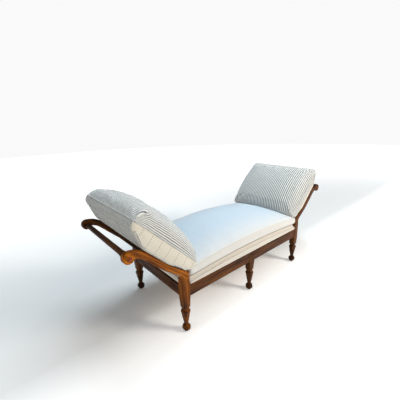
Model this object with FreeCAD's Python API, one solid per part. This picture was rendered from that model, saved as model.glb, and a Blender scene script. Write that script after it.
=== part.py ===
import FreeCAD, Part
import math
import os

# Recamier: a long open daybed on six legs, with a scrolled, sloping arm frame at each
# end, an upholstered deck, a loose mattress and a boxed ticking pillow on each arm frame.
# Millimetres. X runs along the length, left end at minus X, Y runs from the front at
# minus Y to the back, Z is up, and the origin is on the floor under the middle.

# Layout of the frame
leg_spacing_x = 1300.0
leg_spacing_y = 624.0
post_side = 56.0
post_top_z = 400.0
rail_bottom_z = 265.0
rail_height = 83.0
rail_thickness = 30.0
rail_inset = 4.0
rail_edge_radius = 7.0
arris = 5.0

# Leg below the square block, as half widths across flats and heights
foot_base_half = 9.0
foot_half = 24.5
foot_belly_z = 36.0
foot_height = 57.0
ankle_half = 12.5
ankle_top_z = 65.0
taper_mid_half = 19.4
taper_mid_z = 103.0
taper_top_half = 25.6
taper_top_z = 147.0
collar_half = 28.0
collar_mid_z = 157.0
collar_top_half = 25.0
collar_top_z = 166.0
cove_half = 20.8
cove_mid_z = 177.0
cove_top_half = 22.6
cove_top_z = 187.0
shoulder_mid_half = 24.0
shoulder_mid_z = 190.0
block_low_half = 24.6
block_low_z = 195.0
block_taper_drop = 4.0
corner_ratio = 1.11

# Joinery
joint_gap = 0.2
tenon_thickness = 12.0
tenon_length = 28.0
tenon_shoulder = 10.0
peg_diameter = 8.0
peg_set_in = 14.0
peg_length = 50.0
peg_over_bolt = 14.0
peg_pitch = 20.0
dowel_diameter = 10.0
dowel_length = 48.0
dowel_spacing = 28.0

# Middle legs and the cross rail between them
middle_leg_rise = 60.0
housing_depth = 12.0
cross_rail_thickness = 32.0
cross_rail_height = 54.0
cross_tenon_length = 16.0
cross_tenon_shoulder = 10.0

# Scrolled arms
knee_z = 440.0
knee_radius = 30.0
outer_knee_radius = 22.0
lower_slope = 37.0
pillow_slope = 45.0
bend_reach = 90.0
bend_radius = 600.0
crest_reach = 67.0
arm_thickness = 41.0
arm_width = 44.0
scroll_overhang = 317.0
scroll_radius = 33.0
neck_radius = 7.0
arm_arris = 11.0

# Scroll buttons, top bar and lower bar
button_radius = 13.0
button_height = 6.0
button_dome = 3.5
button_pin_radius = 4.0
button_pin_length = 12.0
bar_radius = 16.0
bar_ring_radius = 18.5
bar_ring_width = 9.0
bar_ring_set_in = 38.0
bar_tenon_radius = 9.0
bar_tenon_length = 22.0
lower_bar_along = 62.0
lower_bar_width = 44.0
lower_bar_thickness = 20.0
lower_bar_tenon_width = 28.0
lower_bar_tenon_thickness = 12.0
lower_bar_radius = 5.0

# Slats and what carries them
slat_count = 10
slat_width = 70.0
slat_thickness = 18.0
slat_end_gap = 2.0
ledger_width = 22.0
ledger_height = 24.0
ledger_end_gap = 2.0
block_height = 36.0
block_drop = 2.0
block_leg = 70.0

# Fasteners
screw_shank_radius = 2.0
screw_head_radius = 4.0
screw_head_height = 2.4
ledger_screw_length = 38.0
slat_screw_length = 34.0
bolt_shank_radius = 2.5
bolt_head_radius = 5.5
bolt_head_height = 4.0
bolt_length = 60.0
bolt_rise = 14.0

# Upholstered deck
deck_end_height = 36.0
deck_middle_height = 64.0
deck_end_inset = 4.0
deck_side_inset = 2.0
deck_bulge = 5.0
deck_corner_gap = 1.5
deck_crown = 8.0
deck_station_ratios = (-1.0, -0.6, 0.0, 0.6, 1.0)

# Mattress
mattress_end_gap = 2.0
mattress_overhang = 7.0
mattress_bulge = 7.0
mattress_end_edge_z = 461.0
mattress_middle_edge_z = 505.0
mattress_end_crown = 24.0
mattress_middle_crown = 72.0
mattress_corner_round = 22.0
mattress_stations = 7
cloth_gap = 0.5

# Pillows, in a frame along the slope and square to it
pillow_length = {"left": 543.0, "right": 524.0}
pillow_crown = {"left": 136.0, "right": 105.0}
pillow_low_end = 184.0
pillow_overhang = 12.0
pillow_shift = {"left": 0.0, "right": 18.0}
pillow_side_bulge = 8.0
pillow_side_round = 14.0
pillow_thickness = 100.0
pillow_side_exponent = 0.24
pillow_face_exponent = 0.52
pillow_low_exponent = 3.6
pillow_high_exponent = {"left": 4.8, "right": 3.0}
pillow_lip_ratio = 0.82
pillow_quarter_ratio = 0.96
pillow_edge_crown = 3.0
pillow_seam_ratio = 0.3
pillow_under_ratio = 0.6
pillow_foot_in = 36.0
pillow_foot_rise = 50.0
pillow_foot_sag_ratio = 0.44
pillow_flat_end = 150.0
pillow_knee_in = 44.0
pillow_knee_rise = 26.0
pillow_low_bulge = 2.0
pillow_station_ratios = (0.97, 0.88, 0.66, 0.35, 0.0)

# Sizes worked out from the ones above
V = FreeCAD.Vector
leg_x = leg_spacing_x / 2
leg_y = leg_spacing_y / 2
block_half = post_side / 2
post_inner_x = leg_x - block_half
post_inner_y = leg_y - block_half
post_outer_x = leg_x + block_half
post_outer_y = leg_y + block_half
arm_inner_y = post_outer_y - arm_width
arm_mid_y = post_outer_y - arm_width / 2
rail_top_z = rail_bottom_z + rail_height
block_taper_top_z = rail_bottom_z - block_taper_drop
middle_leg_top_z = rail_bottom_z + middle_leg_rise
bend_x = post_outer_x + bend_reach
scroll_x = post_outer_x + scroll_overhang
side_rail_outer_y = post_outer_y - rail_inset
side_rail_inner_y = side_rail_outer_y - rail_thickness
side_rail_mid_y = side_rail_outer_y - rail_thickness / 2
end_rail_outer_x = post_outer_x - rail_inset
end_rail_inner_x = end_rail_outer_x - rail_thickness
end_rail_mid_x = end_rail_outer_x - rail_thickness / 2
housing_y = side_rail_outer_y - housing_depth
ledger_top_z = rail_top_z - slat_thickness
ledger_bottom_z = ledger_top_z - ledger_height
ledger_inner_y = side_rail_inner_y - ledger_width
block_top_z = ledger_bottom_z - block_drop
bolt_z = block_top_z - block_height + bolt_rise
side_peg_z = bolt_z + peg_over_bolt
end_peg_z = side_peg_z + peg_pitch
slat_pitch = (2 * (post_inner_x - slat_end_gap) - slat_width) / (slat_count - 1)
slat_xs = [(i - (slat_count - 1) / 2) * slat_pitch for i in range(slat_count)]
deck_end_x = post_outer_x - deck_end_inset - deck_bulge
deck_half_width = post_outer_y - deck_side_inset
mattress_end_x = post_inner_x - mattress_end_gap
mattress_half_width = post_outer_y + mattress_overhang - mattress_bulge
pillow_half_width = post_outer_y + pillow_overhang - pillow_side_bulge
ENDS = {"left": -1, "right": 1}
SIDES = {"front": -1, "back": 1}


def put(name, shape):
    """Write one node as a STEP file."""
    shape.exportStep("parts/" + name + ".step")


def box(x0, x1, y0, y1, z0, z1):
    return Part.makeBox(x1 - x0, y1 - y0, z1 - z0, V(x0, y0, z0))


def cylinder(radius, start, direction, length):
    return Part.makeCylinder(radius, length, start, direction)


def place(shape, end, side):
    """Mirror a piece made for the right back corner into another corner."""
    result = shape.copy()
    if ENDS[end] < 0:
        result = result.mirror(V(0, 0, 0), V(1, 0, 0))
    if SIDES[side] < 0:
        result = result.mirror(V(0, 0, 0), V(0, 1, 0))
    return result


def wire_of(segments, to_point):
    """Join segments of two points (a line) or three points (an arc) into a wire."""
    edges = []
    for segment in segments:
        points = [to_point(*point) for point in segment]
        if len(points) == 2:
            edges.append(Part.LineSegment(*points).toShape())
        else:
            edges.append(Part.Arc(*points).toShape())
    return Part.Wire(edges)


def prism_xz(segments, y0, y1):
    """Solid between two Y planes over an outline drawn in X and Z."""
    wire = wire_of(segments, lambda x, z: V(x, y0, z))
    return Part.Face(wire).extrude(V(0, y1 - y0, 0))


def rounded_path(points, radii):
    """Lines joined by tangent arcs: one radius for each inner point of the path."""
    segments = []
    start = points[0]
    for i, radius in enumerate(radii):
        corner = points[i + 1]
        before = unit(points[i], corner)
        after = unit(corner, points[i + 2])
        turn = math.acos(before[0] * after[0] + before[1] * after[1])
        reach = radius * math.tan(turn / 2)
        a = (corner[0] - before[0] * reach, corner[1] - before[1] * reach)
        c = (corner[0] + after[0] * reach, corner[1] + after[1] * reach)
        sag = radius / math.cos(turn / 2) - radius
        inward = unit(corner, ((a[0] + c[0]) / 2, (a[1] + c[1]) / 2))
        b = (corner[0] + inward[0] * sag, corner[1] + inward[1] * sag)
        if math.dist(start, a) > 1e-6:
            segments.append((start, a))
        segments.append((a, b, c))
        start = c
    if math.dist(start, points[-1]) > 1e-6:
        segments.append((start, points[-1]))
    return segments


def unit(a, b):
    length = math.dist(a, b)
    return ((b[0] - a[0]) / length, (b[1] - a[1]) / length)


# Leg outline and leg


def leg_outline(ratio, block, top_z):
    """Right hand outline of a leg, from the floor up; ratio widens the carved part."""
    foot = (
        (foot_base_half * ratio, 0.0),
        (foot_half * ratio, foot_belly_z),
        (ankle_half * ratio, foot_height),
    )
    ankle = (foot[2], (ankle_half * ratio, ankle_top_z))
    taper = (
        ankle[1],
        (taper_mid_half * ratio, taper_mid_z),
        (taper_top_half * ratio, taper_top_z),
    )
    collar = (
        taper[2],
        (collar_half * ratio, collar_mid_z),
        (collar_top_half * ratio, collar_top_z),
    )
    cove = (
        collar[2],
        (cove_half * ratio, cove_mid_z),
        (cove_top_half * ratio, cove_top_z),
    )
    widen = block / block_half
    shoulder = (
        cove[2],
        (shoulder_mid_half * widen, shoulder_mid_z),
        (block_low_half * widen, block_low_z),
    )
    block_taper = (shoulder[2], (block, block_taper_top_z))
    side = (block_taper[1], (block, top_z))
    return [foot, ankle, taper, collar, cove, shoulder, block_taper, side]


def leg_prism(ratio, block, top_z):
    right = leg_outline(ratio, block, top_z)
    left = [tuple((-x, z) for x, z in reversed(seg)) for seg in reversed(right)]
    top = ((block, top_z), (-block, top_z))
    bottom = ((-foot_base_half * ratio, 0.0), (foot_base_half * ratio, 0.0))
    return prism_xz(right + [top] + left + [bottom], -post_side, post_side)


def leg_blank(top_z):
    """Leg with flat carved faces and chamfered corners, at the origin."""
    block_corner = block_half * math.sqrt(2) - arris / math.sqrt(2)
    flats = leg_prism(1.0, block_half, top_z)
    corners = leg_prism(corner_ratio, block_corner, top_z)
    blank = flats
    for tool, turn in ((flats, 90), (corners, 45), (corners, 135)):
        turned = tool.copy()
        turned.rotate(V(0, 0, 0), V(0, 0, 1), turn)
        blank = blank.common(turned)
    return blank


def tenon_box(x0, x1, y0, y1, z0, z1, grow):
    return box(x0 - grow, x1 + grow, y0 - grow, y1 + grow, z0 - grow, z1 + grow)


def side_tenon(grow):
    """Tenon of the side rail in the right back post."""
    y0 = side_rail_mid_y - tenon_thickness / 2
    return tenon_box(
        post_inner_x, post_inner_x + tenon_length,
        y0, y0 + tenon_thickness,
        rail_bottom_z + tenon_shoulder, rail_top_z - tenon_shoulder, grow,
    )


def end_tenon(grow):
    """Tenon of the end rail in the right back post."""
    x0 = end_rail_mid_x - tenon_thickness / 2
    return tenon_box(
        x0, x0 + tenon_thickness,
        post_inner_y, post_inner_y + tenon_length,
        rail_bottom_z + tenon_shoulder, rail_top_z - tenon_shoulder, grow,
    )


def side_peg(grow):
    start = V(post_inner_x + peg_set_in, post_inner_y, side_peg_z)
    return cylinder(peg_diameter / 2 + grow, start, V(0, 1, 0), peg_length + grow)


def end_peg(grow):
    start = V(post_inner_x, post_inner_y + peg_set_in, end_peg_z)
    return cylinder(peg_diameter / 2 + grow, start, V(1, 0, 0), peg_length + grow)


def arm_dowels(grow):
    dowels = []
    for offset in (-dowel_spacing / 2, dowel_spacing / 2):
        start = V(leg_x + offset, arm_mid_y, post_top_z - dowel_length / 2 - grow)
        length = dowel_length + 2 * grow
        dowels.append(cylinder(dowel_diameter / 2 + grow, start, V(0, 0, 1), length))
    return dowels


def corner_bolt(grow):
    """Bolt through the corner block into the post, square to the block's long face."""
    face_x = (post_inner_x - block_leg + end_rail_inner_x) / 2
    face_y = (side_rail_inner_y + post_inner_y - block_leg) / 2
    inward = V(1, 1, 0).normalize()
    start = V(face_x, face_y, bolt_z)
    head = cylinder(bolt_head_radius + grow, start - inward * grow, inward,
                    bolt_head_height + grow)
    shank = cylinder(bolt_shank_radius + grow, start, inward, bolt_length + grow)
    return head.fuse(shank).removeSplitter()


def corner_leg():
    leg = leg_blank(post_top_z)
    leg.translate(V(leg_x, leg_y, 0))
    cuts = [side_tenon(joint_gap), end_tenon(joint_gap), side_peg(joint_gap)]
    cuts += [end_peg(joint_gap), corner_bolt(joint_gap)] + arm_dowels(joint_gap)
    return leg.cut(cuts).removeSplitter()


def middle_leg():
    """Middle leg of the back side, slotted to straddle the side rail."""
    leg = leg_blank(middle_leg_top_z)
    leg.translate(V(0, leg_y, 0))
    slot = box(-post_side, post_side, side_rail_inner_y, housing_y,
               rail_bottom_z, middle_leg_top_z + post_side)
    return leg.cut([slot, cross_tenon(joint_gap)]).removeSplitter()


def cross_tenon(grow):
    half = tenon_thickness / 2
    bottom = middle_leg_top_z - cross_rail_height + cross_tenon_shoulder
    top = middle_leg_top_z - cross_tenon_shoulder
    return tenon_box(-half, half, post_inner_y, post_inner_y + cross_tenon_length,
                     bottom, top, grow)


def cross_rail():
    half = cross_rail_thickness / 2
    body = box(-half, half, -post_inner_y, post_inner_y,
               middle_leg_top_z - cross_rail_height, middle_leg_top_z)
    tenon = cross_tenon(0.0)
    far_tenon = tenon.mirror(V(0, 0, 0), V(0, 1, 0))
    return body.fuse([tenon, far_tenon]).removeSplitter()


# Rails


def side_rail():
    """Back side rail, between the posts and over the middle leg."""
    body = box(-post_inner_x, post_inner_x, side_rail_inner_y, side_rail_outer_y,
               rail_bottom_z, rail_top_z)
    body = body.makeFillet(rail_edge_radius, long_edges(body, "x", side_rail_outer_y))
    tenon = side_tenon(0.0)
    body = body.fuse([tenon, tenon.mirror(V(0, 0, 0), V(1, 0, 0))])
    housing = box(-block_half - joint_gap, block_half + joint_gap,
                  housing_y, side_rail_outer_y + joint_gap,
                  rail_bottom_z - joint_gap, middle_leg_top_z + joint_gap)
    cuts = [housing]
    peg = side_peg(joint_gap)
    cuts += [peg, peg.mirror(V(0, 0, 0), V(1, 0, 0))]
    for screw in ledger_screws(joint_gap):
        cuts += [screw, screw.mirror(V(0, 0, 0), V(1, 0, 0))]
    return body.cut(cuts).removeSplitter()


def end_rail():
    """Right end rail, between the posts."""
    body = box(end_rail_inner_x, end_rail_outer_x, -post_inner_y, post_inner_y,
               rail_bottom_z, rail_top_z)
    body = body.makeFillet(rail_edge_radius, long_edges(body, "y", end_rail_outer_x))
    tenon = end_tenon(0.0)
    body = body.fuse([tenon, tenon.mirror(V(0, 0, 0), V(0, 1, 0))])
    peg = end_peg(joint_gap)
    return body.cut([peg, peg.mirror(V(0, 0, 0), V(0, 1, 0))]).removeSplitter()


def long_edges(body, along, level):
    """The two long outer edges of a rail blank, for rounding."""
    found = []
    for edge in body.Edges:
        size = edge.BoundBox
        if along == "x" and size.XLength > rail_height and abs(size.YMin - level) < 0.01:
            found.append(edge)
        if along == "y" and size.YLength > rail_height and abs(size.XMin - level) < 0.01:
            found.append(edge)
    return found


# Scrolled arm


def line_crossing(a, slope_a, b, slope_b):
    """Point where a line through a meets a line through b; slopes as rise over run."""
    x = (b[1] - a[1] + slope_a * a[0] - slope_b * b[0]) / (slope_a - slope_b)
    return (x, a[1] + slope_a * (x - a[0]))


rise_low = math.tan(math.radians(lower_slope))
rise_high = math.tan(math.radians(pillow_slope))
bend = (bend_x, knee_z + rise_low * (bend_x - post_inner_x))
along = (math.cos(math.radians(pillow_slope)), math.sin(math.radians(pillow_slope)))
square = (-along[1], along[0])
crest_top_z = bend[1] + rise_high * (scroll_x - crest_reach - bend_x)
crest_radius = crest_reach / math.tan(math.radians(pillow_slope / 2))
crest_centre = (scroll_x, crest_top_z - crest_radius)
scroll_centre = (scroll_x, crest_top_z - scroll_radius)
scroll_z = scroll_centre[1]


def arm_upper_path():
    """Top of the arm from the foot's inner side to the top of the scroll."""
    points = [(post_inner_x, post_top_z), (post_inner_x, knee_z), bend,
              (scroll_x - crest_reach, crest_top_z), (scroll_x, crest_top_z)]
    return rounded_path(points, [knee_radius, bend_radius, crest_radius])


def arm_lower_path():
    """Underside of the arm, parallel to its top, up to the start of the crest."""
    low = math.radians(lower_slope)
    high = math.radians(pillow_slope)
    on_low = (post_inner_x + arm_thickness * math.sin(low),
              knee_z - arm_thickness * math.cos(low))
    on_high = (bend[0] + arm_thickness * math.sin(high),
               bend[1] - arm_thickness * math.cos(high))
    knee = (post_outer_x, on_low[1] + rise_low * (post_outer_x - on_low[0]))
    bend_low = line_crossing(on_low, rise_low, on_high, rise_high)
    crest_start = on_circle(crest_centre, crest_radius - arm_thickness, 90 + pillow_slope)
    points = [(post_outer_x, post_top_z), knee, bend_low, crest_start]
    return rounded_path(points, [outer_knee_radius, bend_radius + arm_thickness])


def on_circle(centre, radius, degrees):
    turn = math.radians(degrees)
    return (centre[0] + radius * math.cos(turn), centre[1] + radius * math.sin(turn))


def bearing(centre, point):
    return math.degrees(math.atan2(point[1] - centre[1], point[0] - centre[0])) % 360


def scroll_path():
    """Round the scroll from its top, then the neck and the underside of the crest."""
    under_radius = crest_radius - arm_thickness
    reach = scroll_radius + neck_radius
    inner = under_radius - neck_radius
    apart = scroll_centre[1] - crest_centre[1]
    rise = (inner ** 2 - reach ** 2 + apart ** 2) / (2 * apart)
    neck = (scroll_x - math.sqrt(inner ** 2 - rise ** 2), crest_centre[1] + rise)
    scroll_end = bearing(scroll_centre, neck)
    round_turn = 360 + 90 - scroll_end
    third = [on_circle(scroll_centre, scroll_radius, 90 - round_turn * i / 6) for i in range(7)]
    crest_end = bearing(crest_centre, neck)
    neck_out = on_circle(crest_centre, under_radius, crest_end)
    neck_mid = on_circle(neck, neck_radius, (scroll_end - 180 + crest_end) / 2)
    crest_mid = on_circle(crest_centre, under_radius, (crest_end + 90 + pillow_slope) / 2)
    crest_start = on_circle(crest_centre, under_radius, 90 + pillow_slope)
    return [
        (third[0], third[1], third[2]),
        (third[2], third[3], third[4]),
        (third[4], third[5], third[6]),
        (third[6], neck_mid, neck_out),
        (neck_out, crest_mid, crest_start),
    ]


def arm():
    """Right back arm, with its foot on the post."""
    foot = ((post_outer_x, post_top_z), (post_inner_x, post_top_z))
    back = [tuple(reversed(seg)) for seg in reversed(arm_lower_path())]
    outline = arm_upper_path() + scroll_path() + back + [foot]
    body = prism_xz(outline, arm_inner_y, post_outer_y)
    body = body.makeFillet(arm_arris, arm_edges(body))
    cuts = arm_dowels(joint_gap) + [bar_tenon(joint_gap), button_pin(joint_gap)]
    cuts.append(lower_bar_tenon(joint_gap))
    return body.cut(cuts).removeSplitter()


def arm_edges(body):
    """Edges of the arm's two flat sides, without those of its foot."""
    found = []
    for edge in body.Edges:
        size = edge.BoundBox
        flat = size.YLength < 0.01 and size.ZMax > post_top_z + 0.01
        if flat:
            found.append(edge)
    return found


def bar_tenon(grow):
    start = V(scroll_x, arm_inner_y - grow, scroll_z)
    return cylinder(bar_tenon_radius + grow, start, V(0, 1, 0), bar_tenon_length + 2 * grow)


def button_pin(grow):
    start = V(scroll_x, post_outer_y + grow, scroll_z)
    length = button_pin_length + 2 * grow
    return cylinder(button_pin_radius + grow, start, V(0, -1, 0), length)


def scroll_button():
    """Turned button on the outer face of the right back scroll."""
    rim = button_height - button_dome
    dome_radius = (button_radius ** 2 + button_dome ** 2) / (2 * button_dome)
    dome_centre = (0.0, button_height - dome_radius)
    edge_turn = bearing(dome_centre, (button_radius, rim))
    middle = on_circle(dome_centre, dome_radius, (edge_turn + 90) / 2)
    segments = [
        ((0.0, 0.0), (button_radius, 0.0)),
        ((button_radius, 0.0), (button_radius, rim)),
        ((button_radius, rim), middle, (0.0, button_height)),
        ((0.0, button_height), (0.0, 0.0)),
    ]
    wire = wire_of(segments, lambda r, h: V(scroll_x + r, post_outer_y + h, scroll_z))
    head = Part.Face(wire).revolve(V(scroll_x, 0, scroll_z), V(0, 1, 0), 360)
    return head.fuse(button_pin(0.0)).removeSplitter()


def top_bar():
    """Turned bar between the right scrolls, with a ring near each end."""
    ring_y = arm_inner_y - bar_ring_set_in
    half_ring = bar_ring_width / 2
    inner, outer = ring_y - half_ring, ring_y + half_ring
    segments = [
        ((0.0, -arm_inner_y), (bar_radius, -arm_inner_y)),
        ((bar_radius, -arm_inner_y), (bar_radius, -outer)),
        ((bar_radius, -outer), (bar_ring_radius, -ring_y), (bar_radius, -inner)),
        ((bar_radius, -inner), (bar_radius, inner)),
        ((bar_radius, inner), (bar_ring_radius, ring_y), (bar_radius, outer)),
        ((bar_radius, outer), (bar_radius, arm_inner_y)),
        ((bar_radius, arm_inner_y), (0.0, arm_inner_y)),
        ((0.0, arm_inner_y), (0.0, -arm_inner_y)),
    ]
    wire = wire_of(segments, lambda r, y: V(scroll_x + r, y, scroll_z))
    body = Part.Face(wire).revolve(V(scroll_x, 0, scroll_z), V(0, 1, 0), 360)
    tenon = bar_tenon(0.0)
    return body.fuse([tenon, tenon.mirror(V(0, 0, 0), V(0, 1, 0))]).removeSplitter()


def slope_point(s, n, y=0.0):
    """Point at s along the pillow's slope from the arm's bend and n square to it."""
    x = bend[0] + s * along[0] + n * square[0]
    z = bend[1] + s * along[1] + n * square[1]
    return V(x, y, z)


def slope_box(width, thickness, y0, y1):
    """Box lying in the middle of the arm's thickness, at the lower bar's place."""
    n0 = -arm_thickness / 2 - thickness / 2
    s0 = lower_bar_along - width / 2
    corners = [(s0, n0), (s0 + width, n0), (s0 + width, n0 + thickness), (s0, n0 + thickness)]
    points = [slope_point(s, n, y0) for s, n in corners]
    wire = Part.makePolygon(points + points[:1])
    return Part.Face(wire).extrude(V(0, y1 - y0, 0))


def lower_bar_tenon(grow):
    return slope_box(
        lower_bar_tenon_width + 2 * grow, lower_bar_tenon_thickness + 2 * grow,
        arm_inner_y - grow, arm_inner_y + bar_tenon_length + grow,
    )


def lower_bar():
    """Flat bar between the right arms, under the lower half of the pillow."""
    body = slope_box(lower_bar_width, lower_bar_thickness, -arm_inner_y, arm_inner_y)
    long = [edge for edge in body.Edges if edge.BoundBox.YLength > lower_bar_width]
    body = body.makeFillet(lower_bar_radius, long)
    tenon = lower_bar_tenon(0.0)
    return body.fuse([tenon, tenon.mirror(V(0, 0, 0), V(0, 1, 0))]).removeSplitter()


# Seat platform


def screw(point, direction, length, grow):
    """Countersunk screw with its head's face at the point."""
    head = Part.makeCone(screw_head_radius + grow, screw_shank_radius + grow,
                         screw_head_height, point, direction)
    shank = cylinder(screw_shank_radius + grow, point, direction, length + grow)
    return head.fuse(shank).removeSplitter()


def ledger_screws(grow):
    """Screws of the right back ledger, between the slats."""
    z = (ledger_bottom_z + ledger_top_z) / 2
    right = [x for x in slat_xs if x > 0]
    return [
        screw(V(x + slat_pitch / 2, ledger_inner_y, z), V(0, 1, 0), ledger_screw_length, grow)
        for x in right[:-1]
    ]


def slat_screws(x, grow):
    y = (ledger_inner_y + side_rail_inner_y) / 2
    return [
        screw(V(x, side * y, rail_top_z), V(0, 0, -1), slat_screw_length, grow)
        for side in SIDES.values()
    ]


def ledger():
    """Right back ledger, screwed to the side rail."""
    body = box(block_half + ledger_end_gap, post_inner_x - ledger_end_gap,
               ledger_inner_y, side_rail_inner_y, ledger_bottom_z, ledger_top_z)
    cuts = ledger_screws(joint_gap)
    for x in slat_xs:
        if x > 0:
            cuts += slat_screws(x, joint_gap)
    return body.cut(cuts).removeSplitter()


def slat(x):
    half = side_rail_inner_y - slat_end_gap
    body = box(x - slat_width / 2, x + slat_width / 2, -half, half, ledger_top_z, rail_top_z)
    return body.cut(slat_screws(x, joint_gap)).removeSplitter()


def corner_block():
    """Right back glue block, cut to the post's inner corner."""
    x0 = post_inner_x - block_leg
    y0 = post_inner_y - block_leg
    points = [
        (x0, side_rail_inner_y),
        (post_inner_x - joint_gap, side_rail_inner_y),
        (post_inner_x - joint_gap, post_inner_y - joint_gap),
        (end_rail_inner_x, post_inner_y - joint_gap),
        (end_rail_inner_x, y0),
    ]
    corners = [V(x, y, block_top_z - block_height) for x, y in points]
    wire = Part.makePolygon(corners + corners[:1])
    body = Part.Face(wire).extrude(V(0, 0, block_height))
    return body.cut(corner_bolt(joint_gap)).removeSplitter()


# Upholstered deck and mattress


def crowned(x, end_x, end_value, middle_value):
    """A value that swells from the ends to the middle as a parabola."""
    return end_value + (middle_value - end_value) * (1 - (x / end_x) ** 2)


def deck_top_arc(lift):
    """Three points of the arc that the deck's top follows along its length."""
    end_z = rail_top_z + deck_end_height + lift
    return (
        (-deck_end_x, end_z),
        (0.0, rail_top_z + deck_middle_height + lift),
        (deck_end_x, end_z),
    )


def under_deck_top(lift):
    """Everything below the deck's top, raised by lift."""
    arc = deck_top_arc(lift)
    floor = rail_top_z - rail_height
    segments = [arc, (arc[2], (deck_end_x, floor)), ((deck_end_x, floor), (-deck_end_x, floor)),
                ((-deck_end_x, floor), arc[0])]
    reach = 2 * post_outer_y
    return prism_xz(segments, -reach, reach)


def yz_section(x, half, bulge, z0, z1, crown):
    """Closed outline across the daybed with bulged sides and a crowned top."""
    segments = [
        ((-half, z0), (half, z0)),
        ((half, z0), (half + bulge, (z0 + z1) / 2), (half, z1)),
        ((half, z1), (0.0, z1 + crown), (-half, z1)),
        ((-half, z1), (-half - bulge, (z0 + z1) / 2), (-half, z0)),
    ]
    return wire_of(segments, lambda y, z: V(x, y, z))


def seat_deck():
    """Upholstered deck on the rails and slats, notched round the four posts."""
    stations = []
    for share in deck_station_ratios:
        x = share * deck_end_x
        height = crowned(x, deck_end_x, deck_end_height, deck_middle_height)
        stations.append(yz_section(x, deck_half_width, deck_bulge, rail_top_z,
                                   rail_top_z + height + deck_crown, deck_crown))
    body = Part.makeLoft(stations, True, False)
    body = body.common(under_deck_top(0.0))
    gap = deck_corner_gap
    notch = box(post_inner_x - gap, post_outer_x + gap, post_inner_y - gap,
                2 * post_outer_y, rail_top_z - gap, post_top_z + post_side)
    for end in ENDS:
        for side in SIDES:
            body = body.cut(place(notch, end, side))
    return body.removeSplitter()


def mattress(lift=0.0):
    """Loose mattress with bulged sides and a top crowned both ways."""
    stations = []
    for i in range(mattress_stations):
        x = mattress_end_x * (2 * i / (mattress_stations - 1) - 1)
        edge_z = crowned(x, mattress_end_x, mattress_end_edge_z, mattress_middle_edge_z)
        crown = crowned(x, mattress_end_x, mattress_end_crown, mattress_middle_crown)
        stations.append(yz_section(x, mattress_half_width, mattress_bulge,
                                   rail_top_z + lift, edge_z + lift, crown))
    body = Part.makeLoft(stations, True, False)
    reach = mattress_half_width + mattress_bulge
    plan = box(-mattress_end_x, mattress_end_x, -reach, reach,
               rail_top_z, 2 * mattress_middle_edge_z)
    upright = [e for e in plan.Edges if e.BoundBox.ZLength > mattress_middle_edge_z]
    plan = plan.makeFillet(mattress_corner_round, upright)
    return body.common(plan).cut(under_deck_top(cloth_gap + lift)).removeSplitter()


# Pillows


def pillow_outline(end, crown, inset):
    """Pillow outline along the slope: crowned face, drawn-in ends and flat underside."""
    low = -pillow_low_end + inset
    high = pillow_length[end] - pillow_low_end - inset
    seam = pillow_thickness - inset * pillow_seam_ratio
    under = cloth_gap + inset * pillow_under_ratio
    middle = (low + high) / 2
    half = (high - low) / 2

    def face_point(share):
        fullness = pillow_high_exponent[end] if share > 0 else pillow_low_exponent
        swell = (1 - abs(share) ** fullness) ** pillow_face_exponent
        return (middle + share * half, seam + crown * swell)

    foot = (high - pillow_foot_in, pillow_foot_rise)
    flat_high = (high - pillow_flat_end, under)
    flat_low = (0.0, under)
    knee_low = (low + pillow_knee_in, under + pillow_knee_rise)
    foot_sag = ((foot[0] + flat_high[0]) / 2, foot[1] * pillow_foot_sag_ratio)
    low_side = (low - pillow_low_bulge, (seam + knee_low[1]) / 2)
    return [
        ((low, seam), face_point(-pillow_quarter_ratio), face_point(-pillow_lip_ratio)),
        (face_point(-pillow_lip_ratio), face_point(0.0), face_point(pillow_lip_ratio)),
        (face_point(pillow_lip_ratio), face_point(pillow_quarter_ratio), (high, seam)),
        ((high, seam), (high, (seam + foot[1]) / 2), foot),
        (foot, foot_sag, flat_high),
        (flat_high, flat_low),
        (flat_low, knee_low),
        (knee_low, low_side, (low, seam)),
    ]


def pillow(end):
    """Boxed pillow lying on the arm frame of one end and the mattress's end."""
    full = pillow_half_width
    shift = pillow_shift[end]
    places = [(-full - pillow_side_bulge, pillow_side_round), (-full, 0.0)]
    places += [(-share * full, 0.0) for share in pillow_station_ratios]
    places += [(-y, inset) for y, inset in reversed(places[:-1])]
    stations = []
    for y, inset in places:
        swell = max(1 - (y / full) ** 2, 0.0) ** pillow_side_exponent
        crown = max(pillow_crown[end] * swell, pillow_edge_crown)
        outline = pillow_outline(end, crown, inset)
        stations.append(wire_of(outline, lambda s, n: slope_point(s, n, y + shift)))
    body = Part.makeLoft(stations, True, False)
    body = body.cut([mattress(cloth_gap), arm_room()])
    if ENDS[end] < 0:
        body = body.mirror(V(0, 0, 0), V(1, 0, 0))
    return body.removeSplitter()


def arm_room():
    """Space of the right arms that the pillow keeps clear of."""
    upper = arm_upper_path()
    lifted = [tuple((x, z + cloth_gap) for x, z in seg) for seg in upper]
    first, last = lifted[0][0], lifted[-1][-1]
    floor = rail_bottom_z
    segments = lifted + [
        (last, (last[0], floor)), ((last[0], floor), (first[0], floor)),
        ((first[0], floor), first),
    ]
    gap = joint_gap
    room = prism_xz(segments, arm_inner_y - gap, post_outer_y + gap)
    return room.fuse(room.mirror(V(0, 0, 0), V(0, 1, 0)))


# Every node


def all_corners(name, shape):
    for end in ENDS:
        for side in SIDES:
            put(f"{name}_{end}_{side}", place(shape, end, side))


def all_corner_copies(shapes):
    return [place(shape, end, side) for shape in shapes for end in ENDS for side in SIDES]


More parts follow.
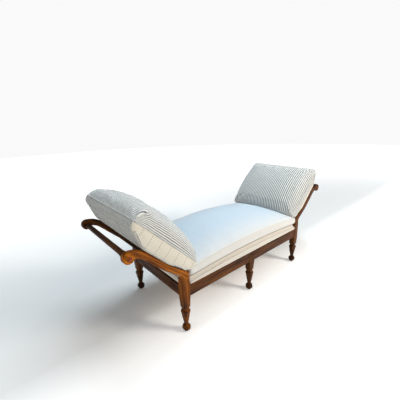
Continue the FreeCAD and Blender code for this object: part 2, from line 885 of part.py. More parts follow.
def build():
    os.makedirs("parts", exist_ok=True)
    all_corners("leg", corner_leg())
    all_corners("arm", arm())
    all_corners("scroll_button", scroll_button())
    all_corners("ledger", ledger())
    all_corners("corner_block", corner_block())
    for side in SIDES:
        put("leg_middle_" + side, place(middle_leg(), "right", side))
        put("side_rail_" + side, place(side_rail(), "right", side))
    for end in ENDS:
        put("end_rail_" + end, place(end_rail(), end, "back"))
        put("top_bar_" + end, place(top_bar(), end, "back"))
        put("lower_bar_" + end, place(lower_bar(), end, "back"))
        put("pillow_" + end, pillow(end))
    put("cross_rail", cross_rail())
    for i, x in enumerate(slat_xs):
        put(f"seat_slat_{i + 1:02d}", slat(x))
    put("tenon_pegs", Part.Compound(all_corner_copies([side_peg(0.0), end_peg(0.0)])))
    put("arm_dowels", Part.Compound(all_corner_copies(arm_dowels(0.0))))
    put("corner_bolts", Part.Compound(all_corner_copies([corner_bolt(0.0)])))
    put("ledger_screws", Part.Compound(all_corner_copies(ledger_screws(0.0))))
    screws = [one for x in slat_xs for one in slat_screws(x, 0.0)]
    put("slat_screws", Part.Compound(screws))
    put("seat_deck", seat_deck())
    put("mattress", mattress())


build()
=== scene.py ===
import math

import bmesh
import bpy
from mathutils import Matrix, Vector, noise
from mathutils.bvhtree import BVHTree


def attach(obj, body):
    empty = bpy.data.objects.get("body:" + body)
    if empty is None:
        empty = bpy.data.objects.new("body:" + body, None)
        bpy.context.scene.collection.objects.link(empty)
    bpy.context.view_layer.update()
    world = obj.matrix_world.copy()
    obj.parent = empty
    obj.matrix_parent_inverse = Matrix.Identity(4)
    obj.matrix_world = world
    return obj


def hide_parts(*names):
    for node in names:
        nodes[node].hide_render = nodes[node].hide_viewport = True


# Recamier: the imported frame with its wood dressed, and the deck, mattress and pillows
# made as cloth. Metres, with the frame's axes: X along the length, Y to the back, Z up.

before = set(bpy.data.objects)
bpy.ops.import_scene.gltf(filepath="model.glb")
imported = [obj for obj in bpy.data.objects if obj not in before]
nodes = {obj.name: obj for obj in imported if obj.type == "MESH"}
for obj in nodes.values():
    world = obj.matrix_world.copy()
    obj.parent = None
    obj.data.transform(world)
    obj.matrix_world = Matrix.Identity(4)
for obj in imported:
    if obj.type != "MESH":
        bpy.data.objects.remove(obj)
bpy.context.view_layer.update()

ENDS = {"left": -1, "right": 1}
SIDES = ("front", "back")
SLATS = 10
X_AXIS, Y_AXIS, Z_AXIS = (1, 0, 0), (0, 1, 0), (0, 0, 1)
WHITE = (1.0, 1.0, 1.0)

# Slope that a pillow lies on: it starts where the arm bends, at X and Z
ARM_FOOT = (0.622, 0.440)
ARM_RISE = math.radians(37)
BEND_X = 0.768
BEND = (BEND_X, ARM_FOOT[1] + math.tan(ARM_RISE) * (BEND_X - ARM_FOOT[0]))
SLOPE = math.radians(45)
ALONG = Vector((math.cos(SLOPE), 0, math.sin(SLOPE)))
SQUARE = Vector((-math.sin(SLOPE), 0, math.cos(SLOPE)))

# Pillow: its ends on the slope, half its width, its shift to the back, its seam's height,
# the crown above the seam and the powers that shape the crown's two ends
PILLOW_LOW = -0.184
PILLOW_HIGH = {"left": 0.359, "right": 0.340}
PILLOW_HALF = 0.349
PILLOW_SHIFT = {"left": 0.0, "right": 0.018}
PILLOW_SEAM = 0.099
PILLOW_CROWN = {"left": 0.136, "right": 0.105}
PILLOW_LOW_POWER = 3.6
PILLOW_HIGH_POWER = {"left": 4.8, "right": 3.0}


class Shader:
    """Short ways to add and link nodes in one material."""

    def __init__(self, name):
        self.material = bpy.data.materials.new(name)
        self.material.use_nodes = True
        self.tree = self.material.node_tree
        self.bsdf = self.tree.nodes["Principled BSDF"]
        self.place = self.add("ShaderNodeTexCoord").outputs["Object"]

    def add(self, kind, **settings):
        node = self.tree.nodes.new(kind)
        for key, value in settings.items():
            setattr(node, key, value)
        return node

    def feed(self, value, socket):
        if isinstance(value, bpy.types.NodeSocket):
            self.tree.links.new(value, socket)
        else:
            socket.default_value = value

    def math(self, operation, a, b=0.0, clamp=False):
        node = self.add("ShaderNodeMath", operation=operation, use_clamp=clamp)
        self.feed(a, node.inputs[0])
        self.feed(b, node.inputs[1])
        return node.outputs[0]

    def plus(self, a, b, clamp=False):
        return self.math("ADD", a, b, clamp)

    def minus(self, a, b, clamp=False):
        return self.math("SUBTRACT", a, b, clamp)

    def times(self, a, b, clamp=False):
        return self.math("MULTIPLY", a, b, clamp)

    def over(self, a, b, clamp=False):
        return self.math("DIVIDE", a, b, clamp)

    def size_of(self, value):
        return self.math("ABSOLUTE", value)

    def along(self, direction):
        """Distance of the shaded point along a direction of the object."""
        node = self.add("ShaderNodeVectorMath", operation="DOT_PRODUCT")
        self.feed(self.place, node.inputs[0])
        node.inputs[1].default_value = direction
        return node.outputs["Value"]

    def vector(self, x, y, z):
        node = self.add("ShaderNodeCombineXYZ")
        for value, socket in zip((x, y, z), node.inputs):
            self.feed(value, socket)
        return node.outputs[0]

    def stretched(self, measures, scales):
        """Vector of three measures, each multiplied by its own scale."""
        return self.vector(*(self.times(m, scale) for m, scale in zip(measures, scales)))

    def noise(self, vector, scale, detail, rough, twist=0.0):
        node = self.add("ShaderNodeTexNoise")
        self.feed(vector, node.inputs["Vector"])
        node.inputs["Scale"].default_value = scale
        node.inputs["Detail"].default_value = detail
        node.inputs["Roughness"].default_value = rough
        node.inputs["Distortion"].default_value = twist
        return node.outputs[0]

    def ramp(self, value, positions, colors):
        """Colour that goes from one colour to the next as the value passes the positions."""
        node = self.add("ShaderNodeValToRGB")
        self.feed(value, node.inputs[0])
        elements = node.color_ramp.elements
        while len(elements) < len(colors):
            elements.new(0.5)
        for element, position, color in zip(elements, positions, colors):
            element.position = position
            element.color = (*color, 1.0)
        return node.outputs[0]

    def mix(self, share, a, b, blend="MIX"):
        node = self.add("ShaderNodeMix", data_type="RGBA", blend_type=blend)
        self.feed(share, node.inputs[0])
        for value, socket in ((a, node.inputs[6]), (b, node.inputs[7])):
            if isinstance(value, tuple):
                value = (*value, 1.0)
            self.feed(value, socket)
        return node.outputs[2]

    def bump(self, height, distance, strength, under=None):
        node = self.add("ShaderNodeBump")
        self.feed(height, node.inputs["Height"])
        node.inputs["Distance"].default_value = distance
        node.inputs["Strength"].default_value = strength
        if under is not None:
            self.feed(under, node.inputs["Normal"])
        return node.outputs[0]

    def surface(self, **values):
        for key, value in values.items():
            self.feed(value, self.bsdf.inputs[key.replace("_", " ")])


# Wood and steel

# Dark, middle and light tone of each wood, then dark and light steel
# Painted light: this lighter, warmer copy of the brown paints the key light on the near arm
WARM = ((0.060, 0.013, 0.002), (0.290, 0.078, 0.005), (0.520, 0.165, 0.012))
BROWN = ((0.020, 0.006, 0.001), (0.082, 0.024, 0.004), (0.170, 0.058, 0.009))
# Painted shade: a darker copy of the brown for the end rails and bars
PAINTED_SHADE_DEEP = ((0.014, 0.004, 0.001), (0.055, 0.016, 0.003), (0.115, 0.038, 0.007))
# Painted light: a lighter, warmer copy of the brown paints the key light on the near leg
LEG_PAINTED_LIT = ((0.030, 0.007, 0.001), (0.170, 0.044, 0.003), (0.360, 0.110, 0.008))
BUTTON = ((0.12, 0.028, 0.012), (0.26, 0.062, 0.022), (0.36, 0.105, 0.036))
RAW = ((0.30, 0.18, 0.09), (0.45, 0.29, 0.16), (0.56, 0.39, 0.24))
STEEL = ((0.34, 0.33, 0.31), (0.58, 0.57, 0.55))
TONE_STOPS = (0.41, 0.50, 0.59)
# Scales of the grain's layers, along the grain and twice across it, and their shares
FINE_GRAIN, FINE_SHARE = (7.0, 210.0, 210.0), 0.36
BAND_GRAIN, BAND_SHARE = (2.2, 34.0, 34.0), 0.46
CLOUD_SCALE, CLOUD_SHARE = 5.0, 0.18
PORE_GRAIN = (26.0, 900.0, 900.0)
PORE_TONE = (0.55, 0.50, 0.46)
PORE_STOPS = (0.30, 0.42)
STEEL_STOPS = (0.3, 0.7)
# Heights between which a leg's darker foot fades out
FOOT_FADE = (0.02, 0.22)
# Least roughness of each finish, and how much the clouds in its tone add
WAXED, UNWAXED, CLOUD_ROUGHNESS = 0.36, 0.54, 0.20
WOOD_SPECULAR, WOOD_BUMP, STEEL_BUMP = 0.09, 0.0006, 0.0001
ARM_GRAIN_SLOPE = math.radians(41)


def perpendicular(direction):
    """Two directions square to the given one and to each other."""
    helper = Vector(Y_AXIS) if abs(direction.y) < 0.9 else Vector(Z_AXIS)
    first = direction.cross(helper).normalized()
    return tuple(first), tuple(direction.cross(first).normalized())


def wood(name, direction, tones, seed, finish=WAXED, foot=1.0):
    """Wood with its grain along one direction; foot is how dark it is at the floor."""
    s = Shader(name)
    direction = Vector(direction).normalized()
    one, two = perpendicular(direction)
    place = (s.plus(s.along(tuple(direction)), seed), s.along(one), s.along(two))
    fine = s.noise(s.stretched(place, FINE_GRAIN), 1.0, detail=4.0, rough=0.62, twist=0.3)
    bands = s.noise(s.stretched(place, BAND_GRAIN), 1.0, detail=3.0, rough=0.5, twist=1.1)
    cloud = s.noise(s.vector(*place), CLOUD_SCALE, detail=2.0, rough=0.5)
    pores = s.noise(s.stretched(place, PORE_GRAIN), 1.0, detail=1.0, rough=0.5)
    share = s.plus(s.times(fine, FINE_SHARE), s.times(bands, BAND_SHARE))
    share = s.plus(share, s.times(cloud, CLOUD_SHARE))
    color = s.mix(1.0, s.ramp(share, TONE_STOPS, tones),
                  s.ramp(pores, PORE_STOPS, (PORE_TONE, WHITE)), "MULTIPLY")
    if foot < 1.0:
        low = s.ramp(s.along(Z_AXIS), FOOT_FADE, ((foot, foot, foot), WHITE))
        color = s.mix(1.0, color, low, "MULTIPLY")
    height = s.plus(s.times(pores, 0.5), s.times(fine, 0.5))
    s.surface(Base_Color=color, Roughness=s.plus(s.times(cloud, CLOUD_ROUGHNESS), finish),
              Specular_IOR_Level=WOOD_SPECULAR, Normal=s.bump(height, WOOD_BUMP, 0.5))
    return s.material


def arm_wood(name, end, tones, seed):
    """Wood with its grain up the slope of the arms at one end."""
    direction = (ENDS[end] * math.cos(ARM_GRAIN_SLOPE), 0, math.sin(ARM_GRAIN_SLOPE))
    return wood(name, direction, tones, seed)


def steel(name):
    s = Shader(name)
    grit = s.noise(s.place, 900.0, detail=3.0, rough=0.6)
    s.surface(Base_Color=s.ramp(grit, STEEL_STOPS, STEEL), Metallic=1.0,
              Roughness=s.plus(s.times(grit, 0.25), 0.28), Normal=s.bump(grit, STEEL_BUMP, 0.3))
    return s.material


def dress(node, material):
    """Give one carried-over node its material."""
    obj = nodes[node]
    obj.data.materials.clear()
    obj.data.materials.append(material)


def dress_frame():
    """Give every wooden and metal node its material."""
    # Painted light and shade: the near leg and near arm get lighter, warmer copies of the
    # brown, and the end rails and bars get a darker copy
    painted_lit_leg = wood("wood_upright_painted_lit", Z_AXIS, LEG_PAINTED_LIT, 0.3, foot=0.45)
    leg = wood("wood_upright", Z_AXIS, BROWN, 1.7, foot=0.5)
    lengthwise = wood("wood_lengthwise", X_AXIS, BROWN, 3.1)
    crosswise = wood("wood_crosswise", Y_AXIS, PAINTED_SHADE_DEEP, 4.4)
    raw_lengthwise = wood("raw_wood_lengthwise", X_AXIS, RAW, 5.2, UNWAXED)
    raw_crosswise = wood("raw_wood_crosswise", Y_AXIS, RAW, 6.9, UNWAXED)
    right_arm = arm_wood("arm_wood_right", "right", BROWN, 7.7)
    arms = {"left_front": arm_wood("arm_wood_near_painted_lit", "left", WARM, 0.9),
            "left_back": arm_wood("arm_wood_left", "left", BROWN, 2.3),
            "right_front": right_arm, "right_back": right_arm}
    button = wood("button_wood", Y_AXIS, BUTTON, 8.2)
    screw_steel = steel("screw_steel")
    for end in ENDS:
        for side in SIDES:
            corner = f"{end}_{side}"
            dress(f"leg_{corner}", painted_lit_leg if corner == "left_front" else leg)
            dress(f"arm_{corner}", arms[corner])
            dress(f"scroll_button_{corner}", button)
            dress(f"ledger_{corner}", raw_lengthwise)
            dress(f"corner_block_{corner}", raw_crosswise)
        for piece in ("end_rail", "top_bar", "lower_bar"):
            dress(f"{piece}_{end}", crosswise)
    for side in SIDES:
        dress(f"leg_middle_{side}", leg)
        dress(f"side_rail_{side}", lengthwise)
    dress("cross_rail", raw_crosswise)
    for number in range(1, SLATS + 1):
        dress(f"seat_slat_{number:02d}", raw_crosswise)
    dress("tenon_pegs", raw_crosswise)
    dress("arm_dowels", raw_lengthwise)
    for fasteners in ("corner_bolts", "ledger_screws", "slat_screws"):
        dress(fasteners, screw_steel)


dress_frame()


# Cloth materials

LINEN_PITCH, TICKING_PITCH = 0.0024, 0.0016
LINEN_BUMP, TICKING_BUMP, CREASE_BUMP = 0.0004, 0.0003, 0.004
LINEN_ROUGHNESS, TICKING_ROUGHNESS = 0.88, 0.86
FAINT_SHEEN, FULL_SHEEN = 0.12, 0.35

# Linen: scales of its slubs, what stains and slubs do to its colour, and their shares
LINEN_SLUB = (40.0, 700.0, 700.0)
LINEN_STAIN, LINEN_STAIN_SHARE = (0.93, 0.90, 0.86), 0.55
SLUB_DARK, SLUB_SHARE = (0.80, 0.80, 0.80), 0.16
# Distance from the middle line where the mattress's tint starts, and where it is full; the tint
# fades the top's painted sky blue to a grey cream toward the long sides
EDGE_TINT_FROM, EDGE_TINT_TO, EDGE_TINT_POWER = 0.10, 0.345, 1.5

# Ticking: cream of the crown and of the gusset, stains, and the lines
TICKING_CREAM = (0.795, 0.78, 0.725)
GUSSET_CREAM = (0.84, 0.775, 0.65)
TICKING_STAIN, TICKING_STAIN_SHARE = (0.93, 0.90, 0.84), 0.6
TICKING_DARK = (0.048, 0.060, 0.105)
STRIPE_PITCH = {"left": 0.0145, "right": 0.0180}
# How far the stripes spread as the crown falls to the seam, as a share of its height
STRIPE_SPREAD = {"left": 0.92, "right": 0.60}
SPREAD_BELOW = 0.88
LEAST_CROWN = 0.030
STRIPE_WANDER, STRIPE_EDGE = 0.005, 3.0
# Strength of a stripe on the crown, what slubs add to it, and strengths on the gusset
STRIPE_STRENGTH, SLUB_STRENGTH = 0.70, 0.4
SIDE_STRENGTH, STITCH_STRENGTH = 0.09, 0.60
# Share of the pitch that is dark, for stripes, for rows of stitches and for their dots
FACE_LINE, SIDE_LINE = 0.27, 0.22
STITCH_PITCH, STITCH_LINE = 0.074, 0.045
DOT_PITCH, DOT_LINE = 0.013, 0.36
# Gusset cloth reaches up to a height on the pillow's side, and a depth in from its face.
# Above it the far pillow's stripes run down its side, which starts at a depth of its own
GUSSET_TOP = {"left": PILLOW_SEAM, "right": 0.045}
GUSSET_DEPTH, STRIPED_SIDE_DEPTH = 0.022, 0.040


def shaded(color, factors):
    return tuple(part * factor for part, factor in zip(color, factors))


def weave(s, one, two, pitch):
    """Height of a plain weave: two crossing sets of threads."""
    turn = 2 * math.pi / pitch
    return s.times(s.math("SINE", s.times(one, turn)), s.math("SINE", s.times(two, turn)))


def cloth_surface(s, color, roughness, sheen, normal):
    """Finish a material as matt cloth with a faint sheen."""
    s.surface(Base_Color=color, Roughness=roughness, Specular_IOR_Level=0.25,
              Sheen_Weight=sheen, Sheen_Roughness=0.5, Normal=normal)
    return s.material


def linen(name, base, seed, edge=None):
    """Plain-weave cloth with slubs and soft creases; edge is its tint at the long sides."""
    s = Shader(name)
    x, y, z = (s.along(axis) for axis in (X_AXIS, Y_AXIS, Z_AXIS))
    threads = weave(s, s.plus(x, z), s.minus(y, z), LINEN_PITCH)
    slub = s.noise(s.stretched((x, y, z), LINEN_SLUB), 1.0, detail=2.0, rough=0.6)
    cloud = s.noise(s.vector(s.plus(x, seed), y, z), 6.0, detail=3.0, rough=0.55)
    tint = s.mix(s.times(cloud, LINEN_STAIN_SHARE), base, shaded(base, LINEN_STAIN))
    tint = s.mix(s.times(slub, SLUB_SHARE), tint, shaded(base, SLUB_DARK))
    # Toward the long sides the colour turns to the edge tint; on the mattress top this fades
    # out the painted sky blue
    if edge is not None:
        side = s.minus(s.size_of(y), EDGE_TINT_FROM)
        side = s.over(side, EDGE_TINT_TO - EDGE_TINT_FROM, clamp=True)
        tint = s.mix(s.math("POWER", side, EDGE_TINT_POWER), tint, edge)
    creases = s.bump(cloud, CREASE_BUMP, 0.35)
    return cloth_surface(s, tint, LINEN_ROUGHNESS, FAINT_SHEEN,
                         s.bump(s.plus(threads, slub), LINEN_BUMP, 0.5, creases))


def stripes(s, place, pitch, width):
    """Thin lines that repeat along one measure: 1 on a line and 0 between."""
    saw = s.size_of(s.minus(s.math("FRACT", s.over(place, pitch)), 0.5))
    off = s.times(s.minus(saw, width / 2), STRIPE_EDGE / width, clamp=True)
    return s.minus(1.0, off, clamp=True)


def ticking_ground(s, one, two, seed, cream):
    """Cream colour with soft stains, the slubs, and the height of the weave."""
    cloud = s.noise(s.vector(one, two, seed + 3.0), 7.0, detail=3.0, rough=0.5)
    slub = s.noise(s.vector(s.times(two, 300.0), s.times(one, 60.0), seed), 1.0,
                   detail=2.0, rough=0.6)
    ground = s.mix(s.times(cloud, TICKING_STAIN_SHARE), cream, shaded(cream, TICKING_STAIN))
    height = s.plus(weave(s, one, two, TICKING_PITCH), s.times(slub, 0.6))
    return ground, slub, height


def slope_axes(end):
    """Directions up one end's slope and square to it."""
    return tuple((way.x * ENDS[end], 0, way.z) for way in (ALONG, SQUARE))


def crown_level(s, end, run, rise):
    """Height of the shaded point on the crown: 0 at the seam and 1 at the top of the cloth."""
    low, high = PILLOW_LOW, PILLOW_HIGH[end]
    ratio = s.over(s.minus(run, (low + high) / 2), (high - low) / 2)
    upper = s.math("GREATER_THAN", ratio, 0.0)
    power = s.plus(s.times(upper, PILLOW_HIGH_POWER[end] - PILLOW_LOW_POWER),
                   PILLOW_LOW_POWER)
    size = s.math("MINIMUM", s.size_of(ratio), 1.0)
    crest = s.minus(1.0, s.math("POWER", size, power))
    height = s.math("MAXIMUM", s.times(crest, PILLOW_CROWN[end]), LEAST_CROWN)
    return s.over(s.minus(rise, PILLOW_SEAM), height, clamp=True)


def ticking_face(end, seed):
    """Crown cloth: dark lines up the slope, evenly spaced over the cloth's own width."""
    s = Shader("ticking_face_" + end)
    toward, outward = slope_axes(end)
    run = s.minus(s.along(toward), BEND[0] * ALONG.x + BEND[1] * ALONG.z)
    rise = s.minus(s.along(outward), BEND[0] * SQUARE.x + BEND[1] * SQUARE.z)
    middle = s.minus(s.along(Y_AXIS), PILLOW_SHIFT[end])
    side = s.math("SIGN", middle)
    fall = s.math("MAXIMUM", s.minus(SPREAD_BELOW, crown_level(s, end, run, rise)), 0.0)
    spread = s.times(side, STRIPE_SPREAD[end] * PILLOW_CROWN[end])
    width = s.plus(middle, s.times(fall, spread))
    if GUSSET_TOP[end] < PILLOW_SEAM:
        edge = PILLOW_HALF - STRIPED_SIDE_DEPTH
        on_side = s.math("GREATER_THAN", s.size_of(middle), edge)
        below = s.math("MAXIMUM", s.minus(PILLOW_SEAM, rise), 0.0)
        width = s.plus(width, s.times(s.times(below, on_side), side))
    wander = s.noise(s.vector(width, run, seed), 7.0, detail=1.0, rough=0.4)
    line = stripes(s, s.plus(width, s.times(wander, STRIPE_WANDER)), STRIPE_PITCH[end],
                   FACE_LINE)
    ground, slub, height = ticking_ground(s, width, run, seed, TICKING_CREAM)
    share = s.times(line, s.plus(s.times(slub, SLUB_STRENGTH), STRIPE_STRENGTH))
    return cloth_surface(s, s.mix(share, ground, TICKING_DARK), TICKING_ROUGHNESS, FULL_SHEEN,
                         s.bump(height, TICKING_BUMP, 0.5))


def ticking_side(end, seed):
    """Gusset cloth: pale, with faint lines across it and a few rows of stitches."""
    s = Shader("ticking_side_" + end)
    run, rise = (s.along(way) for way in slope_axes(end))
    line = stripes(s, run, STRIPE_PITCH[end], SIDE_LINE)
    rows = stripes(s, run, STITCH_PITCH, STITCH_LINE)
    dots = stripes(s, rise, DOT_PITCH, DOT_LINE)
    ground, _, height = ticking_ground(s, run, rise, seed, GUSSET_CREAM)
    share = s.math("MAXIMUM", s.times(line, SIDE_STRENGTH),
                   s.times(s.times(rows, dots), STITCH_STRENGTH))
    return cloth_surface(s, s.mix(share, ground, TICKING_DARK), TICKING_ROUGHNESS, FAINT_SHEEN,
                         s.bump(height, TICKING_BUMP, 0.5))


# Cloth pieces

# What every cloth simulation has in common
CLOTH = {"quality": 6, "mass": 0.3, "tension_stiffness": 12, "compression_stiffness": 12,
         "shear_stiffness": 4, "bending_stiffness": 0.4, "use_pressure": True,
         "pin_stiffness": 1.0}
# Smoothing's factor, and its passes after the remesh and after a pillow has swelled
SMOOTHING, REMESH_PASSES, SWELL_PASSES = 0.5, 4, 2
# Scales of the wide and the fine folds, and how much of the wide ones' depth the fine have
WIDE_FOLD, FINE_FOLD, FINE_FOLD_SHARE = 9.0, 26.0, 0.5
# Steps in which a welt's path turns a corner, and the gap between its other points
CORNER_STEPS = 6
WELT_GAP = 0.012


def step_up(value, low, high):
    """Smooth step from 0 at low to 1 at high."""
    t = min(max((value - low) / (high - low), 0.0), 1.0)
    return t * t * (3 - 2 * t)


def at_least(least, share):
    """Share of 0 to 1, squeezed to run from a least value to 1."""
    return least + (1 - least) * share


def select_only(obj):
    bpy.ops.object.select_all(action="DESELECT")
    obj.select_set(True)
    bpy.context.view_layer.objects.active = obj


def apply_modifier(obj, kind, **settings):
    modifier = obj.modifiers.new(kind.lower(), kind)
    for key, value in settings.items():
        setattr(modifier, key, value)
    select_only(obj)
    bpy.ops.object.modifier_apply(modifier=modifier.name)


def shade_smooth(obj):
    obj.data.polygons.foreach_set("use_smooth", [True] * len(obj.data.polygons))


def padded_copy(node, name, voxel):
    """Even mesh of a soft node's form, as a new object."""
    obj = bpy.data.objects.new(name, nodes[node].data.copy())
    bpy.context.scene.collection.objects.link(obj)
    apply_modifier(obj, "REMESH", mode="VOXEL", voxel_size=voxel, use_smooth_shade=True)
    apply_modifier(obj, "SMOOTH", factor=SMOOTHING, iterations=REMESH_PASSES)
    obj.data.materials.clear()
    return obj


def inflate(obj, free, pressure, cap, grow, frames):
    """Swell the piece as cloth; free(co) is 0 where it stays and 1 where it may move."""
    rest = [v.co.copy() for v in obj.data.vertices]
    held = obj.vertex_groups.new(name="held")
    for v in obj.data.vertices:
        held.add([v.index], 1.0 - free(v.co), "REPLACE")
    cloth = obj.modifiers.new("cloth", "CLOTH")
    for key, value in CLOTH.items():
        setattr(cloth.settings, key, value)
    cloth.settings.uniform_pressure_force = pressure
    cloth.settings.vertex_group_mass = held.name
    cloth.settings.shrink_min = -grow
    cloth.settings.effector_weights.gravity = 0.0
    cloth.collision_settings.use_collision = False
    cloth.collision_settings.use_self_collision = False
    cloth.point_cache.frame_start = 1
    cloth.point_cache.frame_end = frames
    scene = bpy.context.scene
    for number in range(1, frames + 1):
        scene.frame_set(number)
    shaped = obj.evaluated_get(bpy.context.evaluated_depsgraph_get())
    moved = [v.co.copy() for v in shaped.data.vertices]
    obj.modifiers.remove(cloth)
    scene.frame_set(1)
    for v, start, end in zip(obj.data.vertices, rest, moved):
        step = (end - start) * free(start)
        if step.length > cap:
            step *= cap / step.length
        v.co = start + step
    obj.vertex_groups.remove(held)


def crease(obj, depth, free, seed):
    """Shallow uneven folds, worked into the mesh."""
    for v, normal in [(v, v.normal.copy()) for v in obj.data.vertices]:
        wide = noise.noise(v.co * WIDE_FOLD + Vector((seed, 0, 0)))
        fine = noise.noise(v.co * FINE_FOLD + Vector((0, seed, 0)))
        v.co += normal * depth * (wide + FINE_FOLD_SHARE * fine) * free(v.co)


def finish_cloth(obj, body, replaced, materials):
    apply_modifier(obj, "SUBSURF", levels=1)
    shade_smooth(obj)
    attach(obj, body)
    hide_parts(replaced)
    for material in materials:
        obj.data.materials.append(material)


def tree_of(obj):
    mesh = bmesh.new()
    mesh.from_mesh(obj.data)
    tree = BVHTree.FromBMesh(mesh)
    mesh.free()
    return tree


def eased(points):
    """Closed path with each point drawn toward its neighbours."""
    after = points[1:] + points[:1]
    return [(before + point * 2 + following) / 4
            for before, point, following in zip(points[-1:] + points[:-1], points, after)]


def welt(name, points, radius, tree, proud, material, body):
    """Piping laid round a cloth piece, proud of its surface."""
    placed = []
    for point in points:
        surface, normal, _, _ = tree.find_nearest(point)
        placed.append(surface + normal * proud)
    placed = eased(eased(placed))
    curve = bpy.data.curves.new(name, "CURVE")
    curve.dimensions = "3D"
    curve.bevel_depth = radius
    curve.bevel_resolution = 3
    curve.resolution_u = 2
    spline = curve.splines.new("POLY")
    spline.points.add(len(placed) - 1)
    for spot, point in zip(spline.points, placed):
        spot.co = (*point, 1.0)
    spline.use_cyclic_u = True
    obj = bpy.data.objects.new(name, curve)
    bpy.context.scene.collection.objects.link(obj)
    select_only(obj)
    bpy.ops.object.convert(target="MESH")
    shade_smooth(obj)
    obj.data.materials.clear()
    obj.data.materials.append(material)
    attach(obj, body)


def rounded_loop(x0, x1, y0, y1, radius):
    """Points of a rounded rectangle, a small gap apart."""
    corners = ((x1 - radius, y1 - radius, 0), (x0 + radius, y1 - radius, 90),
               (x0 + radius, y0 + radius, 180), (x1 - radius, y0 + radius, 270))
    points = []
    for cx, cy, start in corners:
        for i in range(CORNER_STEPS + 1):
            turn = math.radians(start + 90 // CORNER_STEPS * i)
            points.append((cx + radius * math.cos(turn), cy + radius * math.sin(turn)))
    loop = []
    for (ax, ay), (bx, by) in zip(points, points[1:] + points[:1]):
        steps = max(1, int(math.hypot(bx - ax, by - ay) / WELT_GAP))
        for k in range(steps):
            loop.append((ax + (bx - ax) * k / steps, ay + (by - ay) * k / steps))
    return loop


# Pillows

PILLOW_VOXEL = 0.0075
PILLOW_SIMULATION = {"pressure": 3.0, "cap": 0.008, "grow": 0.006, "frames": 14}
PILLOW_FOLD = 0.0016
# The underside turns up before the pillow's high end, between two distances from it
TURN_UP = 0.050
TURN_UP_FROM, TURN_UP_TO = 0.150, 0.030
# The near pillow is fuller at its high end, between two distances from it and two heights
FULLER = ALONG * 0.004 + SQUARE * 0.020
FULLER_FROM, FULLER_TO = 0.150, 0.010
FULLER_RISE = (0.060, 0.150)
# Distances over which the cloth goes from held to free, and how free it is on the seam
SEAM_FREE, BASE_FREE = (0.004, 0.020), (0.012, 0.040)
SEAM_LOOSE = 0.15
# Welts in the pillow's two seams, how far each is in from the pillow's low and high end,
# and how proud of the cloth it lies
PILLOW_WELT_RADIUS, PILLOW_WELT_CORNER = 0.0034, 0.020
TOP_WELT = {"low": 0.002, "high": 0.002, "proud": 0.0012}
LOW_WELT = {"low": 0.030, "high": 0.034, "proud": 0.0006}
LOW_WELT_RISE = 0.012
FACE_SEED, SIDE_SEED = 1.5, 4.5
# Least share of a gusset face's normal that points to the side
FACING_SIDE = 0.5


def to_local(end, co):
    """Place up the slope, square to it, and across the daybed."""
    x, z = co.x * ENDS[end] - BEND[0], co.z - BEND[1]
    run = x * ALONG.x + z * ALONG.z
    rise = x * SQUARE.x + z * SQUARE.z
    return run, rise, co.y - PILLOW_SHIFT[end]


def to_world(end, run, rise, across):
    x = BEND[0] + run * ALONG.x + rise * SQUARE.x
    z = BEND[1] + run * ALONG.z + rise * SQUARE.z
    return Vector((ENDS[end] * x, across + PILLOW_SHIFT[end], z))


def underside(end, run):
    """Height of the pillow's underside above the slope."""
    high = PILLOW_HIGH[end]
    return TURN_UP * step_up(run, high - TURN_UP_FROM, high - TURN_UP_TO)


def fill_high_end(obj, end):
    """Push out the upper part of a pillow's crown."""
    high = PILLOW_HIGH[end]
    for v in obj.data.vertices:
        run, rise, _ = to_local(end, v.co)
        share = step_up(run, high - FULLER_FROM, high - FULLER_TO) * step_up(rise, *FULLER_RISE)
        push = FULLER * share
        v.co += Vector((push.x * ENDS[end], 0, push.z))


def pillow_welt(end, level, rise_at, tree, material, low, high, proud):
    """Welt in one of a pillow's seams; rise_at gives its height above the slope."""
    loop = rounded_loop(PILLOW_LOW + low, PILLOW_HIGH[end] - high, -PILLOW_HALF, PILLOW_HALF,
                        PILLOW_WELT_CORNER)
    points = [to_world(end, run, rise_at(run), across) for run, across in loop]
    welt(f"pillow_welt_{level}_{end}", points, PILLOW_WELT_RADIUS, tree, proud, material,
         "pillow_" + end)


def make_pillow(end):
    body = "pillow_" + end
    obj = padded_copy(body, "pillow_cloth_" + end, PILLOW_VOXEL)
    crown_cloth = ticking_face(end, FACE_SEED + ENDS[end])
    side_cloth = ticking_side(end, SIDE_SEED + ENDS[end])

    def free(co):
        run, rise, across = to_local(end, co)
        inside = min(PILLOW_HALF - abs(across), run - PILLOW_LOW, PILLOW_HIGH[end] - run)
        seam = math.hypot(rise - PILLOW_SEAM, max(0.0, inside))
        off_base = step_up(rise - underside(end, run), *BASE_FREE)
        return at_least(SEAM_LOOSE, step_up(seam, *SEAM_FREE)) * off_base

    if end == "left":
        fill_high_end(obj, end)
    inflate(obj, free, **PILLOW_SIMULATION)
    apply_modifier(obj, "SMOOTH", factor=SMOOTHING, iterations=SWELL_PASSES)
    crease(obj, PILLOW_FOLD, free, seed=ENDS[end])
    tree = tree_of(obj)
    finish_cloth(obj, body, body, (crown_cloth, side_cloth))
    for face in obj.data.polygons:
        _, rise, across = to_local(end, face.center)
        outer = abs(across) > PILLOW_HALF - GUSSET_DEPTH and abs(face.normal.y) > FACING_SIDE
        face.material_index = 1 if outer and rise < GUSSET_TOP[end] else 0
    pillow_welt(end, "top", lambda run: PILLOW_SEAM, tree, crown_cloth, **TOP_WELT)
    pillow_welt(end, "low", lambda run: underside(end, run) + LOW_WELT_RISE, tree, crown_cloth,
                **LOW_WELT)


for end in ENDS:
    make_pillow(end)


# Mattress and deck

